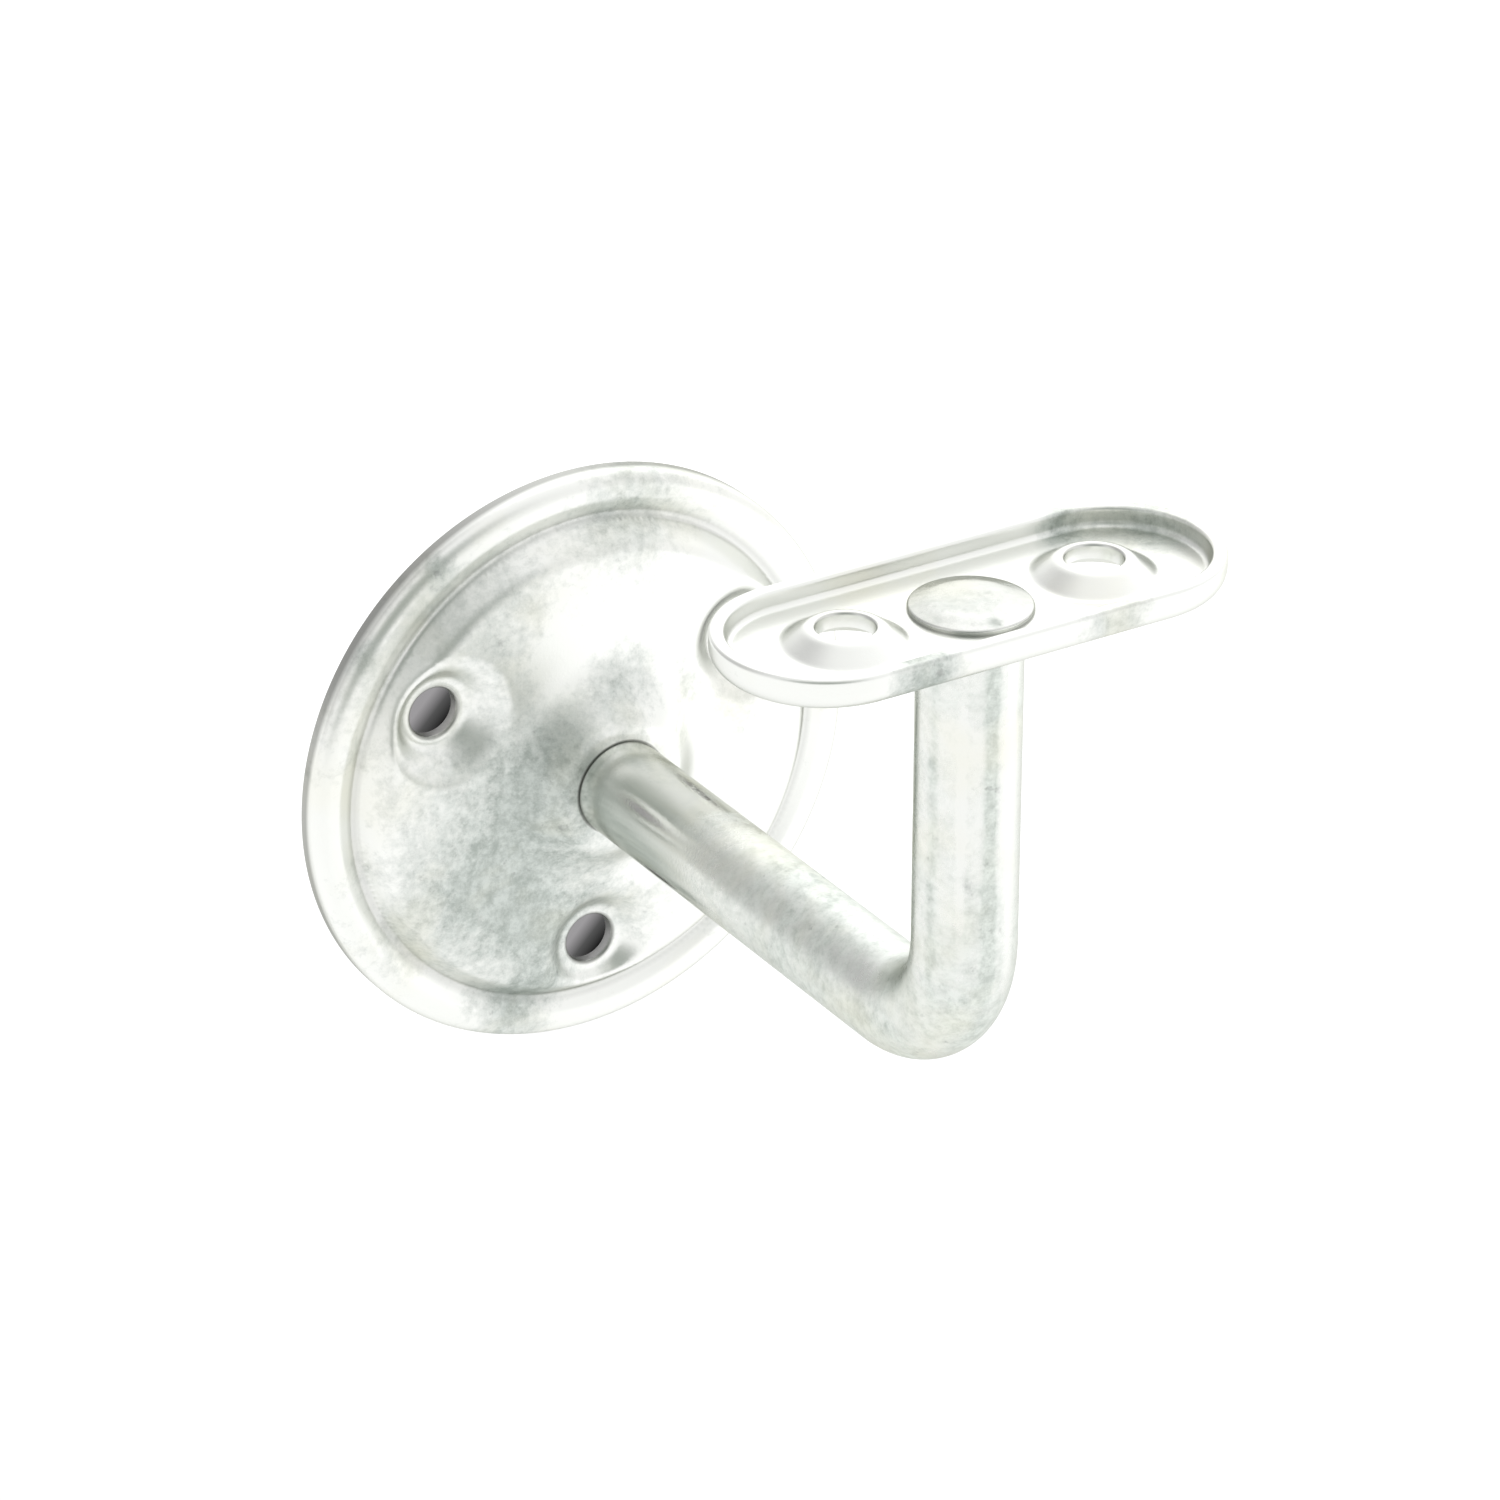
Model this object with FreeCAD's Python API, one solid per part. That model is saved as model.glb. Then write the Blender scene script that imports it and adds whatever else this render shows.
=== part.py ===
# Handrail bracket: a pressed wall rose, a bent round-bar arm and a pressed rail saddle.
# The arm's two turned-down spigots pass through the rose and the saddle and are peened over.
# Millimetres. The wall is the plane y = 0, the arm leaves it along -Y, and +Z is up.
# The origin is the centre of the rose on the wall, and the saddle's long side lies along X.
import FreeCAD, Part
import math
import os

Vector = FreeCAD.Vector

# ---- wall rose: one dished disc of pressed sheet (bends are those of its front) ----
ROSE_D = 75.0              # outside diameter of the rim
ROSE_SHEET = 1.5           # sheet thickness
BEAD_RISE = 3.6            # crest of the rim bead, out from the wall
BEAD_CREST = 3.1           # from the rim's side to the inner edge of the crest
BEAD_OUTER_BEND = 2.0
VALLEY_INSET = 5.6         # groove between bead and dome, measured in from the rim
VALLEY_RISE = 2.5
SHOULDER_INSET = 8.3       # outer edge of the dome's face, measured in from the rim
SHOULDER_RISE = 6.3
SHOULDER_BEND = 2.6
CROWN_INSET = 14.7         # middle of the dome's gently crowned face
CROWN_RISE = 7.1
NECK_FOOT_D = 27.2         # where the neck flares up towards the arm
NECK_FOOT_BEND = 9.0
ARM_SEAT_D = 16.0          # flat that the arm's shoulder bears on
ARM_SEAT_RISE = 11.8
ARM_SEAT_BEND = 3.5

# ---- the rose's screw holes, at the bottom of countersunk dimples ----
WALL_SCREW_COUNT = 3
WALL_SCREW_INSET = 12.9         # screw circle, measured in from the rim
WALL_SCREW_FIRST_ANGLE = 30.0   # from +X towards +Z
WALL_SCREW_HOLE_D = 6.4
WALL_DIMPLE_LAND_D = 7.6        # flat at the bottom of the dimple
WALL_DIMPLE_LAND_RISE = 3.9     # that flat, out from the wall
WALL_DIMPLE_SLOPE = 44.0        # its conical side, up from the wall plane
WALL_DIMPLE_BRIM_BEND = 1.5     # rounding where the dimple runs out into the dome
WALL_DIMPLE_RUN_OUT = 0.05      # top of that rounding, above the middle of the dome's face

# ---- arm: one round bar with a square bend ----
BAR_D = 12.0
BEND_R = 14.0              # radius of the bar's centre line in the bend
LEG_OUT = 86.0             # centre line of the upright leg, out from the wall
SPIGOT_D = 8.0             # turned-down ends, which peening swells to fill their holes
WALL_HEAD_D = 12.6         # peened head inside the rose
WALL_HEAD_RISE = 2.2
RAIL_HEAD_D = 14.0         # peened head in the saddle
RAIL_HEAD_RISE = 1.3
HEAD_EDGE = 0.6            # height of a peened head's upright edge
HEAD_EDGE_BEND = 0.3
HEAD_FLAT = 0.5            # flat middle of a peened head, as a part of its diameter

# ---- saddle: one pressed obround tray that the rail is screwed to ----
RAIL_SEAT_RISE = 57.5      # top of the saddle's rim above the arm's axis
SADDLE_L = 63.0
SADDLE_W = 25.0
SADDLE_SHEET = 1.8
SADDLE_RIM_RISE = 2.4      # rim above the tray's floor
SADDLE_BEND = 2.6          # outside bend radius between floor and rim
RAIL_SCREW_COUNT = 2
RAIL_SCREW_SPACING = 32.5
RAIL_SCREW_HOLE_D = 6.6
RAIL_DIMPLE_FOOT_D = 14.2  # raised dimples, hollow below for countersunk screw heads
RAIL_DIMPLE_TOP_D = 8.6
RAIL_DIMPLE_RISE = 2.05
RAIL_DIMPLE_TOP_BEND = 0.6

# ---- sizes that follow from the ones above ----
ROSE_R = ROSE_D / 2
BAR_R = BAR_D / 2
SPIGOT_R = SPIGOT_D / 2
SADDLE_FLOOR_Z = RAIL_SEAT_RISE - SADDLE_RIM_RISE
SADDLE_UNDERSIDE_Z = SADDLE_FLOOR_Z - SADDLE_SHEET

FLAT_TURN = 50.0           # a bend is drawn in flats that each turn by no more than this
CUT_PAST = 1.0             # how far a cutting tool runs past the face that it opens
SAME = 1e-4                # two places closer than this are the same place
ORIGIN = Vector(0, 0, 0)
X_AXIS = Vector(1, 0, 0)
Y_AXIS = Vector(0, 1, 0)
Z_AXIS = Vector(0, 0, 1)


# ---- sections and turned forms, drawn as x = radius and y = height ----

def unit(vector):
    return vector / vector.Length


def line(start, end):
    return Part.LineSegment(start, end).toShape()


def turned_vector(vector, angle):
    """The vector turned anticlockwise in the section's plane."""
    across = Vector(-vector.y, vector.x, 0)
    return vector * math.cos(angle) + across * math.sin(angle)


def rounded_path(corners):
    """Edges through the corners (x, y, bend radius), each bend drawn as short flats on its arc."""
    points = [Vector(x, y, 0) for x, y, _ in corners]
    path = [points[0]]
    for before, corner, after, (_, _, bend) in zip(points, points[1:], points[2:], corners[1:]):
        if bend == 0:
            path.append(corner)
            continue
        towards_before = unit(before - corner)
        towards_after = unit(after - corner)
        turn = math.pi - towards_before.getAngle(towards_after)
        centre = corner + unit(towards_before + towards_after) * (bend / math.cos(turn / 2))
        spoke = corner + towards_before * (bend * math.tan(turn / 2)) - centre
        turns_left = towards_after.cross(towards_before).z > 0
        flats = math.ceil(turn / math.radians(FLAT_TURN))
        for index in range(flats + 1):
            angle = turn * index / flats
            path.append(centre + turned_vector(spoke, angle if turns_left else -angle))
    path.append(points[-1])
    return [line(start, end) for start, end in zip(path, path[1:])]


def path_behind(corners, sheet):
    """Edges along the sheet's other side, parallel to the runs between the corners."""
    points = [Vector(x, y, 0) for x, y, _ in corners]
    runs = [unit(end - start) for start, end in zip(points, points[1:])]
    normals = [Vector(-run.y, run.x, 0) for run in runs]
    behind = [points[0] + normals[0] * sheet]
    for point, normal, next_normal in zip(points[1:], normals, normals[1:]):
        mitre = unit(normal + next_normal)
        behind.append(point + mitre * (sheet / mitre.dot(normal)))
    behind.append(points[-1] + normals[-1] * sheet)
    return [line(start, end) for start, end in zip(behind, behind[1:])]


def section(edges, closing):
    """The face that the edges enclose, closed by straight sides through the closing points."""
    corners = [edges[-1].lastVertex().Point] + closing + [edges[0].firstVertex().Point]
    sides = [line(start, end) for start, end in zip(corners, corners[1:])]
    return Part.Face(Part.Wire(edges + sides))


def turned(edges, closing):
    """The solid swept by turning the section round Y."""
    return section(edges, closing).revolve(ORIGIN, Y_AXIS, 360)


def out_from_wall(solid):
    """Turn a solid whose height runs along +Y so that it stands out from the wall."""
    return solid.rotated(ORIGIN, Z_AXIS, 180)


def skin_shift(sheet, slope):
    """How much narrower or wider a cone's other side is, level with its bent-off foot."""
    return sheet * math.tan(math.radians(slope) / 2)


def only_solid(shape):
    """The one solid that a boolean result holds."""
    if len(shape.Solids) != 1:
        raise ValueError("expected one solid, found %d" % len(shape.Solids))
    return shape.Solids[0]


# ---- wall rose ----

def rose_front():
    """The front of the rose's section, from the wall round bead and dome to the spigot."""
    return [
        (ROSE_R, 0.0, 0.0),
        (ROSE_R, BEAD_RISE, BEAD_OUTER_BEND),
        (ROSE_R - BEAD_CREST, BEAD_RISE, 0.0),
        (ROSE_R - VALLEY_INSET, VALLEY_RISE, 0.0),
        (ROSE_R - SHOULDER_INSET, SHOULDER_RISE, SHOULDER_BEND),
        (ROSE_R - CROWN_INSET, CROWN_RISE, 0.0),
        (NECK_FOOT_D / 2, CROWN_RISE, NECK_FOOT_BEND),
        (ARM_SEAT_D / 2, ARM_SEAT_RISE, ARM_SEAT_BEND),
        (SPIGOT_R, ARM_SEAT_RISE, 0.0),
    ]


def bell(edges, foot):
    """The space under a rose section, filled from the height foot up to the section."""
    start = edges[0].firstVertex().Point
    top = edges[-1].lastVertex().Point
    closing = [Vector(0, top.y, 0), Vector(0, foot, 0)]
    if start.y - foot > SAME:
        closing.append(Vector(start.x, foot, 0))
    return out_from_wall(turned(edges, closing))


def dimple_space(land_r, land_rise, brim_bend):
    """The open space over a screw dimple: a flat land, a conical side and an eased brim."""
    brim_rise = CROWN_RISE + WALL_DIMPLE_RUN_OUT
    run_out = (brim_rise - land_rise) / math.tan(math.radians(WALL_DIMPLE_SLOPE))
    brim_r = land_r + run_out
    edge_r = brim_r + brim_bend * math.tan(math.radians(WALL_DIMPLE_SLOPE) / 2)
    top = ARM_SEAT_RISE + CUT_PAST
    corners = [(land_r, land_rise, 0), (brim_r, brim_rise, brim_bend), (edge_r + SAME, brim_rise, 0)]
    closing = [Vector(edge_r + SAME, top, 0), Vector(0, top, 0), Vector(0, land_rise, 0)]
    return out_from_wall(turned(rounded_path(corners), closing))


def wall_screw_places():
    """Where the rose's screws pass through the wall plane."""
    places = []
    for index in range(WALL_SCREW_COUNT):
        angle = math.radians(WALL_SCREW_FIRST_ANGLE + index * 360.0 / WALL_SCREW_COUNT)
        places.append(Vector(math.cos(angle), 0, math.sin(angle)) * (ROSE_R - WALL_SCREW_INSET))
    return places


def make_wall_rose():
    front = rose_front()
    body = bell(rounded_path(front), 0.0)
    hollow = bell(path_behind(front, ROSE_SHEET), -CUT_PAST)

    land_r = WALL_DIMPLE_LAND_D / 2
    hole_r = WALL_SCREW_HOLE_D / 2
    behind_land_r = land_r + skin_shift(ROSE_SHEET, WALL_DIMPLE_SLOPE)
    behind_land_rise = WALL_DIMPLE_LAND_RISE - ROSE_SHEET
    front_space = dimple_space(land_r, WALL_DIMPLE_LAND_RISE, WALL_DIMPLE_BRIM_BEND)
    back_skin = dimple_space(behind_land_r, behind_land_rise, 0.0)
    drill = Part.makeCylinder(hole_r, ARM_SEAT_RISE, ORIGIN, -Y_AXIS)
    for place in wall_screw_places():
        body = body.cut(front_space.translated(place))
        hollow = hollow.cut(back_skin.translated(place))
    rose = body.cut(hollow)
    for place in wall_screw_places():
        rose = rose.cut(drill.translated(place))
    spigot_hole = Part.makeCylinder(SPIGOT_R, ARM_SEAT_RISE + CUT_PAST, ORIGIN, -Y_AXIS)
    return only_solid(rose.cut(spigot_hole))


# ---- arm ----

def peened_end(sheet, head_d, head_rise):
    """A spigot through a sheet and the head peened over it, standing on z = 0 along +Z."""
    head_r = head_d / 2
    top = sheet + head_rise
    spigot = Part.makeCylinder(SPIGOT_R, sheet + HEAD_EDGE)
    head_side = rounded_path([
        (head_r, sheet, 0.0),
        (head_r, sheet + HEAD_EDGE, HEAD_EDGE_BEND),
        (head_r * HEAD_FLAT, top, 0.0),
        (0.0, top, 0.0),
    ])
    head = turned(head_side, [Vector(0, sheet, 0)]).rotated(ORIGIN, X_AXIS, 90)
    return spigot.fuse(head).removeSplitter()


def make_arm():
    bend_start_y = -(LEG_OUT - BEND_R)
    bend_start = Vector(0, bend_start_y, 0)
    to_wall = Part.makeCylinder(BAR_R, -bend_start_y - ARM_SEAT_RISE, bend_start, Y_AXIS)
    bar_end = Part.Face(Part.Wire(Part.Circle(bend_start, Y_AXIS, BAR_R).toShape()))
    bend = bar_end.revolve(bend_start + Z_AXIS * BEND_R, -X_AXIS, 90)
    bend_end = Vector(0, -LEG_OUT, BEND_R)
    leg = Part.makeCylinder(BAR_R, SADDLE_UNDERSIDE_Z - BEND_R, bend_end)

    wall_end = peened_end(ROSE_SHEET, WALL_HEAD_D, WALL_HEAD_RISE)
    wall_end.rotate(ORIGIN, X_AXIS, -90)
    wall_end.translate(Vector(0, -ARM_SEAT_RISE, 0))

    rail_end = peened_end(SADDLE_SHEET, RAIL_HEAD_D, RAIL_HEAD_RISE)
    rail_end.translate(Vector(0, -LEG_OUT, SADDLE_UNDERSIDE_Z))

    return only_solid(bend.multiFuse([to_wall, leg, wall_end, rail_end]))


# ---- saddle ----

def make_tray():
    """The plain obround tray: a straight run between two half turns of the same section."""
    half_w = SADDLE_W / 2
    run = Z_AXIS * (SADDLE_L - SADDLE_W)
    side = rounded_path([
        (0.0, SADDLE_FLOOR_Z, 0.0),
        (half_w - SADDLE_SHEET, SADDLE_FLOOR_Z, 0.0),
        (half_w - SADDLE_SHEET, RAIL_SEAT_RISE, 0.0),
        (half_w, RAIL_SEAT_RISE, 0.0),
        (half_w, SADDLE_UNDERSIDE_Z, SADDLE_BEND),
        (0.0, SADDLE_UNDERSIDE_Z, 0.0),
    ])
    near_side = section(side, [])
    far_side = near_side.rotated(ORIGIN, Y_AXIS, 180)
    near_end = near_side.revolve(ORIGIN, Y_AXIS, 180)
    far_end = far_side.revolve(ORIGIN, Y_AXIS, 180).translated(run)
    tray = near_end.multiFuse([far_end, near_side.extrude(run), far_side.extrude(run)])
    tray = only_solid(tray.removeSplitter())
    tray.translate(run / -2)
    tray.rotate(ORIGIN, X_AXIS + Y_AXIS + Z_AXIS, 120)
    tray.translate(Vector(0, -LEG_OUT, 0))
    return tray


def rail_screw_places():
    """Centres of the saddle's screw dimples, on the tray's floor."""
    first = -(RAIL_SCREW_COUNT - 1) / 2
    return [Vector((first + index) * RAIL_SCREW_SPACING, -LEG_OUT, SADDLE_FLOOR_Z)
            for index in range(RAIL_SCREW_COUNT)]


def make_saddle():
    tray = make_tray()
    foot_r = RAIL_DIMPLE_FOOT_D / 2
    top_r = RAIL_DIMPLE_TOP_D / 2
    hole_r = RAIL_SCREW_HOLE_D / 2
    slope = math.degrees(math.atan2(RAIL_DIMPLE_RISE, foot_r - top_r))
    shift = skin_shift(SADDLE_SHEET, slope)
    raised_side = rounded_path([
        (foot_r, 0.0, 0.0),
        (top_r, RAIL_DIMPLE_RISE, RAIL_DIMPLE_TOP_BEND),
        (0.0, RAIL_DIMPLE_RISE, 0.0),
    ])
    raised = turned(raised_side, [ORIGIN]).rotated(ORIGIN, X_AXIS, 90)
    hollow = Part.makeCone(foot_r - shift, top_r - shift, RAIL_DIMPLE_RISE)
    drill = Part.makeCylinder(hole_r, RAIL_SEAT_RISE)
    for place in rail_screw_places():
        tray = tray.fuse(raised.translated(place))
    for place in rail_screw_places():
        tray = tray.cut(hollow.translated(place - Z_AXIS * SADDLE_SHEET))
        tray = tray.cut(drill.translated(Vector(place.x, place.y, 0)))
    spigot_hole = Part.makeCylinder(SPIGOT_R, RAIL_SEAT_RISE, Vector(0, -LEG_OUT, 0))
    return only_solid(tray.cut(spigot_hole))


os.makedirs("parts", exist_ok=True)
NODES = {
    "wall_rose": make_wall_rose(),
    "arm": make_arm(),
    "saddle": make_saddle(),
}
for name, solid in NODES.items():
    if not solid.isValid():
        raise ValueError(name + " is not a valid solid")
    solid.exportStep("parts/" + name + ".step")
    print(name, solid.ShapeType, round(solid.Volume, 1), "mm3", solid.BoundBox)
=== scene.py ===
"""Looks of the handrail bracket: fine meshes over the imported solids, zinc plating and studio light.

The frame gives the places and overall sizes. The bracket's lengths are millimetres, and its meshes
are scaled to metres as they are built. The camera and the floor are placed in metres.
"""

import math

import bmesh
import bpy
import numpy as np
from mathutils import Matrix, Vector
from mathutils.geometry import delaunay_2d_cdt


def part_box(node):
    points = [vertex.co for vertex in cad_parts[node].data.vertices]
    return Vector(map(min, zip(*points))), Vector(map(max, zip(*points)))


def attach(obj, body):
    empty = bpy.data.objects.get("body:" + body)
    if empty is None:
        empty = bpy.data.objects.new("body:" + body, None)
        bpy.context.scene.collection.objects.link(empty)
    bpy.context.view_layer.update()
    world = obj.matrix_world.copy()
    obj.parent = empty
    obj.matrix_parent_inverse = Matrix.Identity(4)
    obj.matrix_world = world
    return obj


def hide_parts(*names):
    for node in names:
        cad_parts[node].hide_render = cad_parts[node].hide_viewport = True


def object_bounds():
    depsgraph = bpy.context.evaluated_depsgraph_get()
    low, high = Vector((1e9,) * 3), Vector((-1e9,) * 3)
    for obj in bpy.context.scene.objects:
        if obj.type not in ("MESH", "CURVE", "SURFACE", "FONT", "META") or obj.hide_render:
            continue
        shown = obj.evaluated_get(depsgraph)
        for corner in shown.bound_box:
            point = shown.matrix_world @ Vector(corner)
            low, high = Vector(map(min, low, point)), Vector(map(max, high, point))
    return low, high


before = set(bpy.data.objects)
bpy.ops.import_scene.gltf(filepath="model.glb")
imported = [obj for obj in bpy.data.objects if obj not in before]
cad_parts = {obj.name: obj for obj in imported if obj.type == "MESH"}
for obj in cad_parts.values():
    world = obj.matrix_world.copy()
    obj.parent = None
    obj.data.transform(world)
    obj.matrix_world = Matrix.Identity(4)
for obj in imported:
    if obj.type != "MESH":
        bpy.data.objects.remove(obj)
cad_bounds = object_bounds()

MM = 0.001
TINY = 1e-6


def box_mm(node):
    """Lowest and highest corners of a CAD node, in millimetres."""
    low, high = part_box(node)
    return np.array(low) / MM, np.array(high) / MM


rose_low, rose_high = box_mm("wall_rose")
_, arm_high = box_mm("arm")
saddle_low, saddle_high = box_mm("saddle")

# ---- sizes of the wall rose; rises are out from the wall, insets in from the rim ----
ROSE_R = rose_high[0]
SHEET = 1.5
SPIGOT_R = 4.0
SEAT_RISE = -rose_low[1]           # the flat that the arm stands on
SEAT_R = 8.0
SEAT_BEND = 3.5
NECK_FOOT_R = 13.6                 # where the neck flares up towards the arm
NECK_FOOT_BEND = 9.0
CROWN_INSET = 14.7                 # middle of the dome's gently crowned face
CROWN_RISE = 7.1
CROWN_BEND = 25.0
SHOULDER_INSET = 8.3               # outer edge of the dome's face
SHOULDER_RISE = 6.3
SHOULDER_BEND = 2.6
VALLEY_INSET = 5.6                 # groove between dome and bead
VALLEY_RISE = 2.5
VALLEY_BEND = 0.9
BEAD_CREST = 3.1                   # from the rim's side to the inner edge of the crest
BEAD_RISE = 3.6
BEAD_INNER_BEND = 2.2
BEAD_OUTER_BEND = 2.0
RIM_SIDE_RISE = BEAD_RISE - BEAD_OUTER_BEND   # the rim's side is upright up to here

# ---- sizes of the rose's screw holes and dimples ----
SCREW_CIRCLE_R = 24.6
SCREW_ANGLES = [30, 150, 270]      # degrees, from +X towards +Z
SCREW_PLACES = [SCREW_CIRCLE_R * np.array([math.cos(math.radians(a)), math.sin(math.radians(a))])
                for a in SCREW_ANGLES]
SCREW_R = 3.2
LIP = 0.35                         # rounding round a screw hole
LAND_R = 3.8
LAND_RISE = 3.9
LAND_BEND = 1.3                    # how far the land eases into the dimple's cone
DIMPLE_SLOPE = math.tan(math.radians(44))
BRIM_EASE = 1.5                    # height over which dimple and dome blend
DIMPLE_REACH = 8.7

# ---- fineness of the rose's mesh ----
ROUND_COUNT = 96                   # points round a screw hole or the bar, and the fewest in a dome ring
DOME_POINT_GAP = 0.85
RING_TWIST = 0.01                  # radians from each ring of the dome to the next
LIP_STEPS = (0.0, 0.03, 0.1, 0.2, LIP)
DIMPLE_RING_GAP = 0.3
LAND_MARGIN = 0.6                  # the dome's rings stay this far outside a land
RING_MARGIN = 0.08                 # and their points this far from a dimple's rings
REGULAR_FROM_R = SCREW_CIRCLE_R + DIMPLE_REACH + 0.1   # past the dimples the mesh is plain rings
RIM_COUNT = 288
SLOPE_STEP = 0.02                  # the front's slope is measured over twice this
SLOPE_INSET = 0.06                 # and at least this far inside the rim
SIDE_INSET = 0.03                  # what is nearer to the rim than this is its side

# ---- smoothing of the rose's back, where the sheet is offset past a sharp ridge ----
FOLD_LIMIT = 0.3                   # least agreement of a front and back face, 1 when they are parallel
UNFOLD_ROUNDS = 6
UNFOLD_SPREAD = 2                  # rings of neighbours that move with a folded face
UNFOLD_SMOOTHINGS = 6

# ---- sizes of the arm, and the fineness of its mesh ----
BAR_R = 6.0
BEND_R = 14.0
LEG_OUT = -(saddle_low[1] + saddle_high[1]) / 2
END_EDGE = 0.3                     # rounding of the bar's two end edges
SPIGOT_INTO_BAR = 1.0              # how far the meshes of spigot and bar overlap
RAIL_HEAD_R = 7.0
RAIL_HEAD_FLAT = 0.62              # flat middle of a head, as a part of its radius
RAIL_HEAD_BEND = 5.0
WALL_HEAD_R = 6.3
WALL_HEAD_FLAT = 0.55
WALL_HEAD_BEND = 4.0
HEAD_EDGE = 0.55                   # height of a head's upright edge
HEAD_EDGE_BEND = 0.35
HEAD_COUNT = 80                    # points round a head
END_STEPS = 5                      # rings over an end edge, along the arm, in the bend and up the leg
ARM_STEPS = 40
BEND_STEPS = 41
LEG_STEPS = 30

# ---- sizes of the saddle ----
SEAT_Z = saddle_high[2]
UNDERSIDE_Z = saddle_low[2]
SADDLE_SHEET = 1.8
FLOOR_Z = UNDERSIDE_Z + SADDLE_SHEET
SADDLE_HALF_W = (saddle_high[1] - saddle_low[1]) / 2
SADDLE_HALF_RUN = saddle_high[0] - SADDLE_HALF_W
SADDLE_BEND = 2.6
SADDLE_INNER_BEND = 0.8
RIM_BEND = 0.5                     # rounding of the rim's two edges
RAIL_SCREW_X = 16.25
RAIL_SCREW_PLACES = [np.array([x, 0]) for x in (-RAIL_SCREW_X, RAIL_SCREW_X)]
RAIL_SCREW_R = 3.3
RAISED_FOOT_R = 7.1
RAISED_TOP_R = 4.3
RAISED_RISE = 2.05
RAISED_TOP_EASE = 0.45             # softness of a raised dimple's edges, above and below the sheet
RAISED_UNDER_EASE = 0.3
RAISED_FOOT_SHARE = 0.7            # the foot's softness, as a part of the top edge's

# ---- fineness of the saddle's mesh ----
SADDLE_END_COUNT = 64
SADDLE_RUN_COUNT = 48
WALL_START = 0.4                   # the walls' and the rim's outlines start this far under the rim's top
RIM_START = 0.6
FLOOR_INSET = SADDLE_BEND + 1.0    # the floor's mesh starts this far inside the outline
RAIL_LIP_STEPS = (0.0, 0.08, 0.2, LIP)
RAISED_RING_START = 0.55           # first plain ring outside a screw hole
RAISED_RING_GAP = 0.22
RAISED_RING_REACH = 1.2            # the rings go on this far past a dimple's foot
SPIGOT_COUNT = 48
GRID_HALF_L = 30.0
GRID_HALF_W = 12.0
GRID_STEP = 1.1
GRID_EDGE_MARGIN = 0.5             # the grid stays clear of the floor's edge, the dimples and the spigot
GRID_DIMPLE_MARGIN = 0.3
GRID_SPIGOT_MARGIN = 0.5

SHARP_ANGLE = math.radians(38)
MERGE_DISTANCE = 1e-6              # metres
ALL_TRIANGLES = 0                  # the Delaunay call's output type
SAME_POINT = 1e-7                  # plan points closer than this are one


# ---- outlines and height fields ----

def arc_path(corners, step_angle=9.0, step_length=1.2):
    """Points (r, h) through the corners (r, h, bend), with arcs for bends and close steps."""
    points = [np.array(c[:2], float) for c in corners]
    path = [points[0]]

    def run_to(end):
        start = path[-1]
        count = max(1, math.ceil(np.linalg.norm(end - start) / step_length))
        path.extend(start + (end - start) * i / count for i in range(1, count + 1))

    for before, corner, after, (_, _, bend) in zip(points, points[1:], points[2:], corners[1:]):
        to_before = (before - corner) / np.linalg.norm(before - corner)
        to_after = (after - corner) / np.linalg.norm(after - corner)
        turn = math.pi - math.acos(np.clip(to_before @ to_after, -1, 1))
        if bend == 0 or turn < 1e-6:
            run_to(corner)
            continue
        half = turn / 2
        middle = to_before + to_after
        centre = corner + middle / np.linalg.norm(middle) * bend / math.cos(half)
        start = corner + to_before * bend * math.tan(half)
        run_to(start)
        spoke = start - centre
        way = 1 if to_after[0] * to_before[1] - to_after[1] * to_before[0] > 0 else -1
        count = max(2, math.ceil(math.degrees(turn) / step_angle))
        for i in range(1, count + 1):
            a = way * turn * i / count
            cos_a, sin_a = math.cos(a), math.sin(a)
            path.append(centre + np.array([spoke[0] * cos_a - spoke[1] * sin_a,
                                           spoke[0] * sin_a + spoke[1] * cos_a]))
    run_to(points[-1])
    return np.array(path)


def ring(radius, count, centre=(0.0, 0.0), phase=0.0):
    """Points evenly round a circle, the first at the angle phase."""
    angles = phase + np.arange(count) * (2 * math.pi / count)
    return np.stack([centre[0] + radius * np.cos(angles), centre[1] + radius * np.sin(angles)], 1)


def smooth_min(a, b, ease):
    """The smaller of a and b, rounded off where they differ by less than ease."""
    overlap = np.maximum(ease - np.abs(a - b), 0) / ease
    return np.minimum(a, b) - overlap ** 2 * ease / 4

def lip_drop(away, hole_r):
    """How far a hole's rounded lip lies under the sheet's face, at distances from its centre."""
    into_lip = np.clip(hole_r + LIP - away, 0, LIP)
    return LIP - np.sqrt(LIP ** 2 - into_lip ** 2)


def clear_of(points, holes):
    """Which points lie outside every hole (centre, radius)."""
    keep = np.ones(len(points), bool)
    for centre, radius in holes:
        keep &= np.linalg.norm(points - np.array(centre), axis=1) > radius
    return keep


def triangulate(points, holes):
    """Delaunay triangles of the plan points, without those in the holes (centre, radius)."""
    flat = [Vector((float(x), float(y))) for x, y in points]
    _, _, faces, sources, _, _ = delaunay_2d_cdt(flat, [], [], ALL_TRIANGLES, SAME_POINT)
    index = np.array([s[0] for s in sources])
    tris = index[np.array([f[:3] for f in faces])]
    corners = points[tris]
    ab = corners[:, 1] - corners[:, 0]
    ac = corners[:, 2] - corners[:, 0]
    turned = ab[:, 0] * ac[:, 1] - ab[:, 1] * ac[:, 0]
    tris[turned < 0] = tris[turned < 0][:, ::-1]
    return tris[clear_of(corners.mean(1), holes)]


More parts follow.
